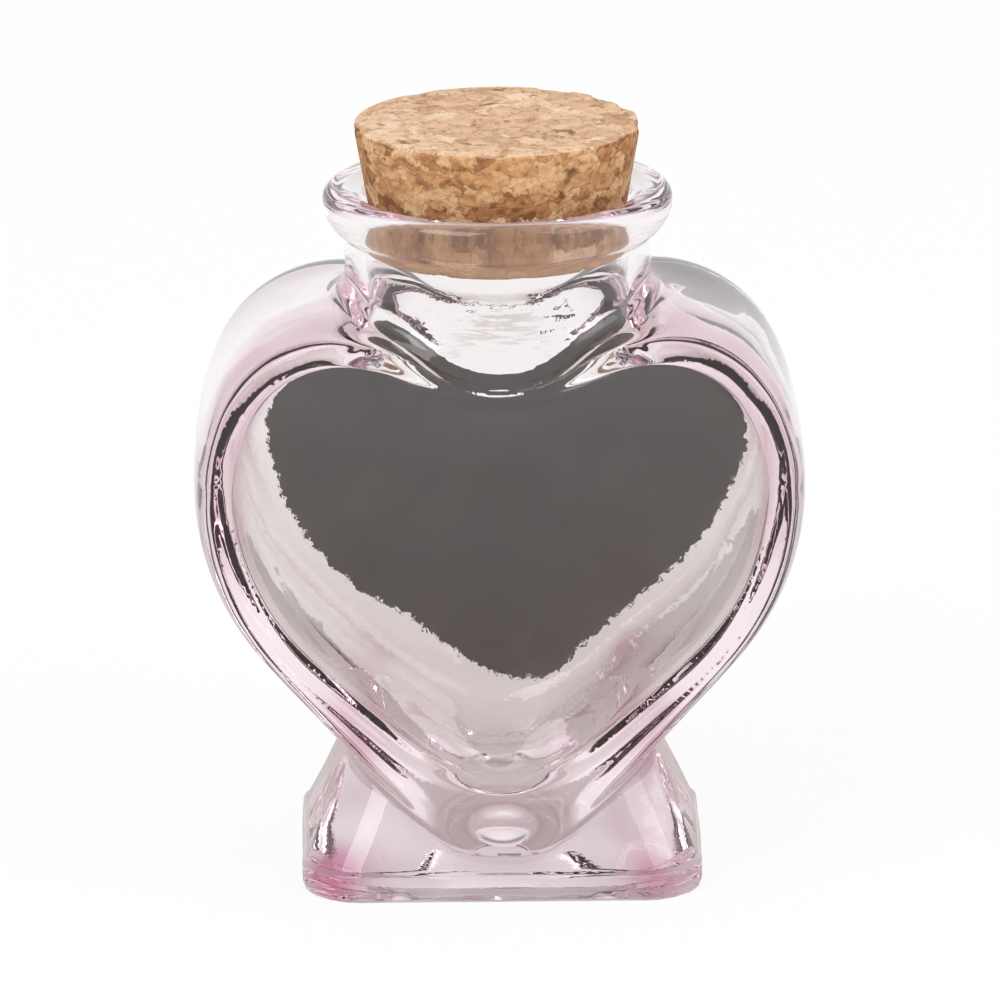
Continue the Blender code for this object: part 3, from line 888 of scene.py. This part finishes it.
def buildLabel():
    heart = label["heart"]
    middleZ = (heart["tipZ"] + heart["lobeZ"] + heart["lobeRadius"]) / 2
    angles = [math.tau * ray / label["rays"] for ray in range(label["rays"])]
    radii = [labelRadius(angle, middleZ) for angle in angles]
    widths = [paleWidth(r * math.cos(a), middleZ + r * math.sin(a)) for a, r in zip(angles, radii)]
    made = bmesh.new()
    sides = []
    for y in (bottle["halfDepth"] - label["inkDepth"], label["backY"]):
        center = made.verts.new((0, y, middleZ))
        rings = labelRings(made, angles, radii, widths, y, middleZ)
        for index in range(len(angles)):
            after = (index + 1) % len(angles)
            made.faces.new((center, rings[0][index], rings[0][after]))
            for inner, outer in zip(rings, rings[1:]):
                face = made.faces.new((inner[index], outer[index], outer[after], inner[after]))
                face.material_index = int(outer is rings[-1])
        sides.append(rings[-1])
    for index in range(len(angles)):
        after = (index + 1) % len(angles)
        face = made.faces.new((sides[0][index], sides[1][index], sides[1][after], sides[0][after]))
        face.material_index = 1
    bmesh.ops.recalc_face_normals(made, faces=made.faces)
    turn = Matrix.Rotation(-label["turn"], 4, "Y")
    middle = Matrix.Translation((0, 0, middleZ))
    shift = Matrix.Translation((label["shiftX"], 0, 0))
    bmesh.ops.transform(made, verts=made.verts, matrix=shift @ middle @ turn @ middle.inverted())
    mesh = bpy.data.meshes.new("backLabel")
    made.to_mesh(mesh)
    made.free()
    print("label:", len(mesh.polygons), "faces")
    piece = newPiece("backLabel", mesh, "bottle", "back_label", labelMaterial())
    mesh.materials.append(paleEdgeMaterial())
    return piece


# Cork

cork = {
    "topZ": 93.8 * mm,
    "bottomZ": 77.8 * mm,
    "mouthZ": 83.4 * mm,
    "mouthRadius": 15.8 * mm,
    "taper": math.radians(9.8),
    "edge": 0.4 * mm,
    "rimWear": 1.6 * mm,
    "voxel": 0.3 * mm,
    "quickVoxel": 0.5 * mm,
    "grains": 400.0,                 # granules in a metre
    "crumbs": 2.4,                   # finer ones, times the number above
    "flatness": (0.8, 0.8, 1.35),    # they lie flat
    "warp": 0.0045,
    "warpNoise": {"Scale": 380.0, "Detail": 6.0, "Roughness": 0.62},
    "fineNoise": (1300.0, 5.0),
    "patches": (300.0, 4.0),
    "toneShares": (0.40, 0.22, 0.38),       # of the granules, the crumbs and the fine noise
    "sideTones": [(0.24, (0.22, 0.085, 0.028, 1)), (0.40, (0.42, 0.19, 0.072, 1)),
                  (0.58, (0.57, 0.30, 0.130, 1)), (0.76, (0.72, 0.46, 0.26, 1))],
    "litTopTones": [(0.24, (0.48, 0.27, 0.14, 1)), (0.42, (0.65, 0.41, 0.245, 1)),
                 (0.60, (0.74, 0.50, 0.32, 1)), (0.80, (0.83, 0.62, 0.45, 1))],
    "topStops": [(0.55, 0.0), (0.85, 1.0)],
    "fissureColour": (0.16, 0.065, 0.025, 1),
    "fissurePatches": [(0.46, 0.0), (0.56, 0.5)],
    "fissureStops": [(0.0, 1.0), (0.07, 0.0)],
    "speckStops": [(0.31, 0.75), (0.38, 0.0)],
    "holeStops": [(0.31, 0.75), (0.36, 0.0)],
    "grainStops": [(0.0, 0.0), (0.12, 1.0)],
    "grainHeight": 0.8,
    "bumpStrength": 0.8,
    "bumpDepth": 0.12 * mm,
    "roughness": 0.9,
    "paintedLightInNeck": (1.0, 0.60, 0.36, 1),    # painted light: the stretch in the neck is painted paler
    "neckShare": 0.48,
    "neckFade": 0.02,                # as a share of the cork's height above the ground
}
corkWear = {                         # waves in a metre, and depths in mm
    "pitWaves": 420,
    "finePitWaves": 950,
    "finePitShare": 0.6,
    "pitFrom": 0.42,
    "crumbWaves": 190,
    "crumbShift": (5, 3, 1),
    "crumbFrom": 0.4,
    "chipWaves": 260,
    "chipShift": (1, 8, 2),
    "chipFrom": 0.05,
    "chipDepth": 1.5,
    "rimDepth": 0.12,
    "roughWaves": 1500,
    "roughDepth": 0.06,
}


def corkDistance(points):
    r = np.hypot(points[:, 0], points[:, 1])
    z = points[:, 2]
    radius = cork["mouthRadius"] + (z - cork["mouthZ"]) * math.tan(cork["taper"])
    side = (r - radius) * math.cos(cork["taper"])
    ends = np.abs(z - (cork["topZ"] + cork["bottomZ"]) / 2) - (cork["topZ"] - cork["bottomZ"]) / 2
    edge = cork["edge"]
    corner = np.hypot(np.maximum(side + edge, 0), np.maximum(ends + edge, 0)) - edge
    return corner + np.minimum(np.maximum(side, ends) + edge, 0)


def corkGrains(start, coords):
    # the shade of the granules and the gaps between them
    warp = start.node("ShaderNodeTexNoise", {}, {"Vector": coords, **cork["warpNoise"]}, output="Color")
    flat = start.node("ShaderNodeVectorMath", {"operation": "MULTIPLY"}, {0: coords, 1: cork["flatness"]})
    bent = start.node("ShaderNodeVectorMath", {"operation": "MULTIPLY_ADD"},
                      {0: warp, 1: (cork["warp"],) * 3, 2: flat})
    grained = {"Vector": bent, "Scale": cork["grains"]}
    crumbed = {"Vector": bent, "Scale": cork["grains"] * cork["crumbs"]}
    grains = start.node("ShaderNodeTexVoronoi", {}, grained, output="Color")
    crumbs = start.node("ShaderNodeTexVoronoi", {}, crumbed, output="Color")
    gaps = start.node("ShaderNodeTexVoronoi", {"feature": "DISTANCE_TO_EDGE"}, grained, output="Distance")
    grainShade = start.node("ShaderNodeSeparateColor", {}, {0: grains})
    crumbShade = start.node("ShaderNodeSeparateColor", {}, {0: crumbs}, output=1)
    return grainShade, crumbShade, gaps


def corkColour(start, coords, tone, fine, gaps):
    # painted light from above: faces that look up get lighter tones than the sides
    facing = start.node("ShaderNodeNewGeometry", output="Normal")
    onTop = start.node("ShaderNodeSeparateXYZ", {}, {0: facing}, output=2).ramp(cork["topStops"])
    plain = onTop.mixed("MIX", tone.ramp(cork["sideTones"]), tone.ramp(cork["litTopTones"]))
    # the gaps between granules are dark only here and there
    patchy = cloud(start, coords, *cork["patches"])
    fissure = patchy.ramp(cork["fissurePatches"]) * gaps.ramp(cork["fissureStops"])
    speck = fine.ramp(cork["speckStops"])
    hole = patchy.ramp(cork["holeStops"])
    dark = fissure.maths("MAXIMUM", fissure, speck.maths("MAXIMUM", speck, hole))
    colour = dark.mixed("MIX", plain, cork["fissureColour"])
    # painted light: below the mouth, inside the neck, the cork is painted paler
    heightShare = start.node("ShaderNodeSeparateXYZ", {}, {0: coords}, output=2) * (1 / cork["topZ"])
    mouth = cork["mouthZ"] / cork["topZ"]
    neckLightShare = heightShare.ramp([(mouth - cork["neckFade"], cork["neckShare"]), (mouth, 0.0)])
    return neckLightShare.mixed("MIX", colour, cork["paintedLightInNeck"])


def corkMaterial():
    material, start, output = newMaterial("granulatedCork")
    coords = start.node("ShaderNodeTexCoord", output="Object")
    grainShade, crumbShade, gaps = corkGrains(start, coords)
    fine = cloud(start, coords, *cork["fineNoise"])
    ofGrains, ofCrumbs, ofFine = cork["toneShares"]
    tone = grainShade * ofGrains + crumbShade * ofCrumbs + fine * ofFine
    bump = start.node("ShaderNodeBump", {}, {
        "Strength": cork["bumpStrength"],
        "Distance": cork["bumpDepth"],
        "Height": fine + gaps.ramp(cork["grainStops"]) * cork["grainHeight"],
    })
    shader = start.node("ShaderNodeBsdfPrincipled", {}, {
        "Base Color": corkColour(start, coords, tone, fine, gaps),
        "Roughness": cork["roughness"],
        "Normal": bump,
    })
    connect(shader, output, "Surface")
    return material


def corkPit(place, towardsRim):
    # how deep the surface is torn here, in mm
    wear = corkWear
    finePits = wear["finePitShare"] * noise.noise(place * wear["finePitWaves"])
    pits = noise.noise(place * wear["pitWaves"]) + finePits
    crumbs = noise.noise(place * wear["crumbWaves"] + Vector(wear["crumbShift"]))
    chips = noise.noise(place * wear["chipWaves"] + Vector(wear["chipShift"]))
    torn = max(0.0, pits - wear["pitFrom"]) + max(0.0, crumbs - wear["crumbFrom"])
    rough = wear["roughDepth"] * abs(noise.noise(place * wear["roughWaves"]))
    chipped = wear["rimDepth"] + max(0.0, chips - wear["chipFrom"]) * wear["chipDepth"]
    return torn + rough + towardsRim * chipped


def buildCork():
    mesh = remeshed("cork_stopper", cork["voxel"])
    points, _ = meshPoints(mesh)
    points = settle(points, corkDistance, fitting["firstMoves"])
    normals = unitSlopes(corkDistance, points)
    radius = np.hypot(points[:, 0], points[:, 1])
    rimRadius = cork["mouthRadius"] + (cork["topZ"] - cork["mouthZ"]) * math.tan(cork["taper"])
    toRim = np.hypot(radius - rimRadius, points[:, 2] - cork["topZ"])
    towardsRim = np.clip(1 - toRim / cork["rimWear"], 0, 1)
    depths = np.array([corkPit(Vector(point), share) for point, share in zip(points, towardsRim)])
    points = points - normals * (depths * mm)[:, None]
    mesh.vertices.foreach_set("co", points.ravel())
    mesh.polygons.foreach_set("use_smooth", [True] * len(mesh.polygons))
    mesh.update()
    print("cork:", len(mesh.polygons), "faces")
    return newPiece("corkStopper", mesh, "stopper", "cork_stopper", corkMaterial())


# Stage

stage = {
    "floorSize": 6.0,
    "floorColour": (0.9, 0.9, 0.9, 1),
    "cameraFloor": 0.90,             # how much of the floor is plain white to the camera
    "shadedFloor": (0.66, 0.60, 0.59, 1),
    "shadedReach": 0.26,
    "shadedFrom": 0.3,               # as a share of that reach
    "skyLight": 0.75,
    "keyPower": 10.0,
    "keySize": 0.9,
    "keyPlace": (-0.7, -0.9, 1.1),
    "fillPower": 5.0,
    "fillSize": 0.9,
    "fillPlace": (0.9, -0.5, 0.7),
    "lightAim": (0, 0, 45 * mm),
    "bounces": 32,
    "glossyBounces": 16,
}


def seenDirectly(start):
    # 1 for the camera and for rays that a mirror or a glass sends on
    toCamera = start.node("ShaderNodeLightPath", output="Is Camera Ray")
    glossy = start.node("ShaderNodeLightPath", output="Is Glossy Ray")
    through = start.node("ShaderNodeLightPath", output="Is Transmission Ray")
    return toCamera.maths("MAXIMUM", toCamera.maths("MAXIMUM", toCamera, glossy), through)


def buildFloor():
    material, start, output = newMaterial("paleFloor")
    matt = start.node("ShaderNodeBsdfDiffuse", {}, {"Color": stage["floorColour"]})
    # in the glass the floor is greyer close to the bottle, and white to the camera
    coords = start.node("ShaderNodeTexCoord", output="Object")
    away = start.node("ShaderNodeVectorMath", {"operation": "LENGTH"}, {0: coords}, output="Value")
    nearBottle = [(stage["shadedFrom"], stage["shadedFloor"]), (1.0, (1, 1, 1, 1))]
    shaded = (away * (1 / stage["shadedReach"])).ramp(nearBottle)
    toCamera = start.node("ShaderNodeLightPath", output="Is Camera Ray")
    seen = toCamera.mixed("MIX", shaded, (1, 1, 1, 1))
    white = start.node("ShaderNodeEmission", {}, {"Color": seen, "Strength": 1.0})
    share = seenDirectly(start) * stage["cameraFloor"]
    mixed = start.node("ShaderNodeMixShader", {}, {0: share, 1: matt, 2: white})
    connect(mixed, output, "Surface")
    half = stage["floorSize"] / 2
    mesh = bpy.data.meshes.new("floor")
    corners = [(-half, -half, 0), (half, -half, 0), (half, half, 0), (-half, half, 0)]
    mesh.from_pydata(corners, [], [(0, 1, 2, 3)])
    mesh.materials.append(material)
    floor = bpy.data.objects.new("floor", mesh)
    bpy.context.scene.collection.objects.link(floor)


def buildWorld():
    world = bpy.data.worlds.new("studio")
    bpy.context.scene.world = world
    world.use_nodes = True
    world.node_tree.nodes.clear()
    start = Socket(world.node_tree)
    output = world.node_tree.nodes.new("ShaderNodeOutputWorld")
    sky = start.node("ShaderNodeBackground", {}, {"Color": (1, 1, 1, 1), "Strength": stage["skyLight"]})
    white = start.node("ShaderNodeBackground", {}, {"Color": (1, 1, 1, 1), "Strength": 1.0})
    mixed = start.node("ShaderNodeMixShader", {}, {0: seenDirectly(start), 1: sky, 2: white})
    connect(mixed, output, "Surface")


def addSoftbox(name, place, size, power):
    lamp = bpy.data.lights.new(name, "AREA")
    lamp.size = size
    lamp.energy = power
    box = bpy.data.objects.new(name, lamp)
    bpy.context.scene.collection.objects.link(box)
    box.location = place
    box.rotation_euler = (Vector(place) - Vector(stage["lightAim"])).to_track_quat("Z", "Y").to_euler()


camera = {
    "azimuth": math.radians(-0.6),
    "elevation": math.radians(16.2),
    "distance": 1.4,
    "aim": (0.1 * mm, 0, 45.6 * mm),
    "lens": 409.5,
    "roll": math.radians(0.35),
    "sensor": 36.0,
    "nearest": 0.05,
    "farthest": 20.0,
}


def buildCamera():
    data = bpy.data.cameras.new("camera")
    data.lens = camera["lens"]
    data.sensor_width = camera["sensor"]
    data.clip_start = camera["nearest"]
    data.clip_end = camera["farthest"]
    eye = bpy.data.objects.new("camera", data)
    bpy.context.scene.collection.objects.link(eye)
    azimuth, elevation = camera["azimuth"], camera["elevation"]
    back = Vector((math.sin(azimuth) * math.cos(elevation), -math.cos(azimuth) * math.cos(elevation),
                   math.sin(elevation)))
    turn = back.to_track_quat("Z", "Y").to_matrix() @ Matrix.Rotation(-camera["roll"], 3, "Z")
    eye.matrix_world = Matrix.Translation(Vector(camera["aim"]) + back * camera["distance"]) @ turn.to_4x4()
    bpy.context.scene.camera = eye


print("glass bottle")
buildGlass()
print("label")
buildLabel()
print("cork")
buildCork()
print("stage")
buildFloor()
buildWorld()
addSoftbox("keyLight", stage["keyPlace"], stage["keySize"], stage["keyPower"])
addSoftbox("fillLight", stage["fillPlace"], stage["fillSize"], stage["fillPower"])
buildCamera()
bpy.context.scene.cycles.max_bounces = stage["bounces"]
bpy.context.scene.cycles.transmission_bounces = stage["bounces"]
bpy.context.scene.cycles.glossy_bounces = stage["glossyBounces"]
bpy.context.scene.view_settings.view_transform = "Standard"
